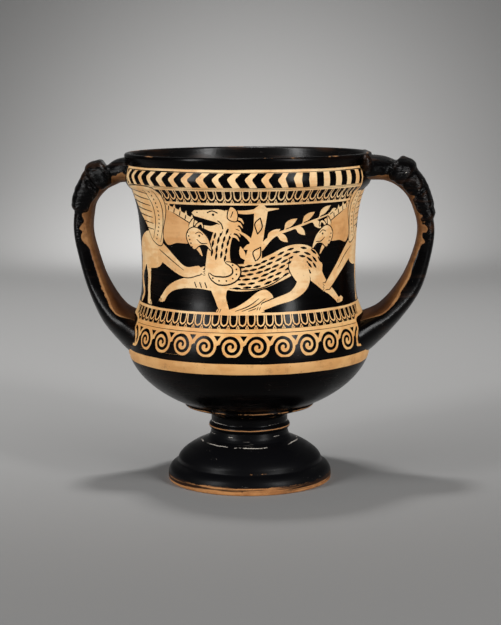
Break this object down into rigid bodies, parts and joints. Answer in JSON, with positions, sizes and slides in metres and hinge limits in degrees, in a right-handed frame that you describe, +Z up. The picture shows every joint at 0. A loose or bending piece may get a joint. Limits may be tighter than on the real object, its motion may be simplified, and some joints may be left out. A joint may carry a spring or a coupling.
{
  "type": "kantharos",
  "caption": "Deep stemmed drinking cup of black-gloss red-figure pottery with tall knotted strap handles, a flared lip and a hollow moulded foot.",
  "frame": {"origin": "on the surface the foot stands on, below the middle of the whole object; the cup's own axis is at x = -3.7 mm, because the right handle reaches further than the left", "axes": "+Z up along the cup's axis, +X towards the right handle as seen from the front, -Y towards the front, where the figure frieze faces"},
  "size_m": [0.2632, 0.1786, 0.24],
  "materials": {
    "black_gloss_pottery": "semi-gloss black slip over fired orange clay, with figures and ornament bands left in the clay colour"
  },
  "bodies": {
    "root": {"kantharos": "black_gloss_pottery"}
  },
  "joints": []
}
